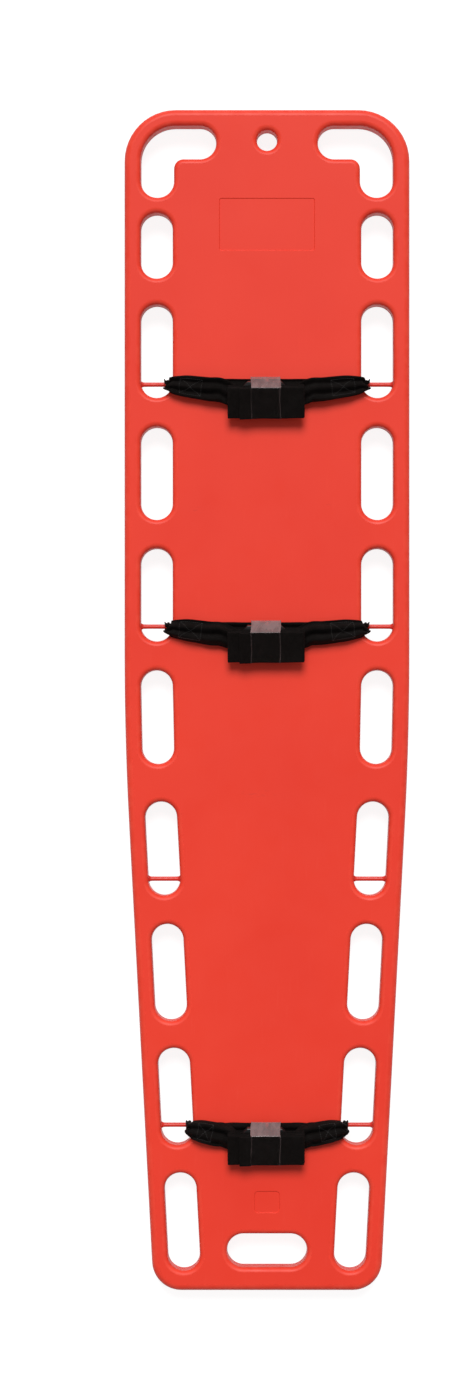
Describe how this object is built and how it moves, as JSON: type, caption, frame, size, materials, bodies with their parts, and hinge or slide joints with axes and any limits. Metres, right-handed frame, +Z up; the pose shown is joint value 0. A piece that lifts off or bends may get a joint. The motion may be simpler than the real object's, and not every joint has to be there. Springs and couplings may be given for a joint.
{
  "type": "spine board",
  "caption": "Tapered plastic spine board with a row of hand slots down each side, strap pins across some of them and folded webbing straps with side-release buckles.",
  "frame": {"origin": "on the floor under the middle of the board, which lies flat on its runners with its face up", "axes": "+Y to the head end along the board, +X to the right across it, +Z up out of the patient's face"},
  "size_m": [0.445, 1.84, 0.088],
  "materials": {
    "board_plastic": "satin moulded polyethylene",
    "pin_plastic": "satin",
    "plug_plastic": "satin",
    "foam": "rigid closed-cell foam",
    "webbing": "woven webbing",
    "buckle_plastic": "moulded",
    "clear_film": "clear film"
  },
  "bodies": {
    "board": {"board_shell": "board_plastic", "foam_core": "foam", "fill_plug": "plug_plastic", "chest_pin_left": "pin_plastic", "chest_pin_right": "pin_plastic", "hip_pin_left": "pin_plastic", "hip_pin_right": "pin_plastic", "knee_pin_left": "pin_plastic", "knee_pin_right": "pin_plastic", "ankle_pin_left": "pin_plastic", "ankle_pin_right": "pin_plastic"},
    "chest_strap_left": {"chest_strap_left_webbing": "webbing", "chest_buckle_socket": "buckle_plastic"},
    "chest_strap_right": {"chest_strap_right_webbing": "webbing", "chest_buckle_plug": "buckle_plastic", "chest_keeper_band": "clear_film"},
    "hip_strap_left": {"hip_strap_left_webbing": "webbing", "hip_buckle_socket": "buckle_plastic"},
    "hip_strap_right": {"hip_strap_right_webbing": "webbing", "hip_buckle_plug": "buckle_plastic", "hip_keeper_band": "clear_film"},
    "ankle_strap_left": {"ankle_strap_left_webbing": "webbing", "ankle_buckle_socket": "buckle_plastic"},
    "ankle_strap_right": {"ankle_strap_right_webbing": "webbing", "ankle_buckle_plug": "buckle_plastic", "ankle_keeper_band": "clear_film"}
  },
  "joints": [
    {"name": "chest_left_release", "type": "slide", "parent": "board", "child": "chest_strap_left", "axis": [-1, 0, 0], "range_m": [0, 0.028]},
    {"name": "chest_right_release", "type": "slide", "parent": "board", "child": "chest_strap_right", "axis": [1, 0, 0], "range_m": [0, 0.028]},
    {"name": "hip_left_release", "type": "slide", "parent": "board", "child": "hip_strap_left", "axis": [-1, 0, 0], "range_m": [0, 0.028]},
    {"name": "hip_right_release", "type": "slide", "parent": "board", "child": "hip_strap_right", "axis": [1, 0, 0], "range_m": [0, 0.028]},
    {"name": "ankle_left_release", "type": "slide", "parent": "board", "child": "ankle_strap_left", "axis": [-1, 0, 0], "range_m": [0, 0.028]},
    {"name": "ankle_right_release", "type": "slide", "parent": "board", "child": "ankle_strap_right", "axis": [1, 0, 0], "range_m": [0, 0.028]}
  ]
}
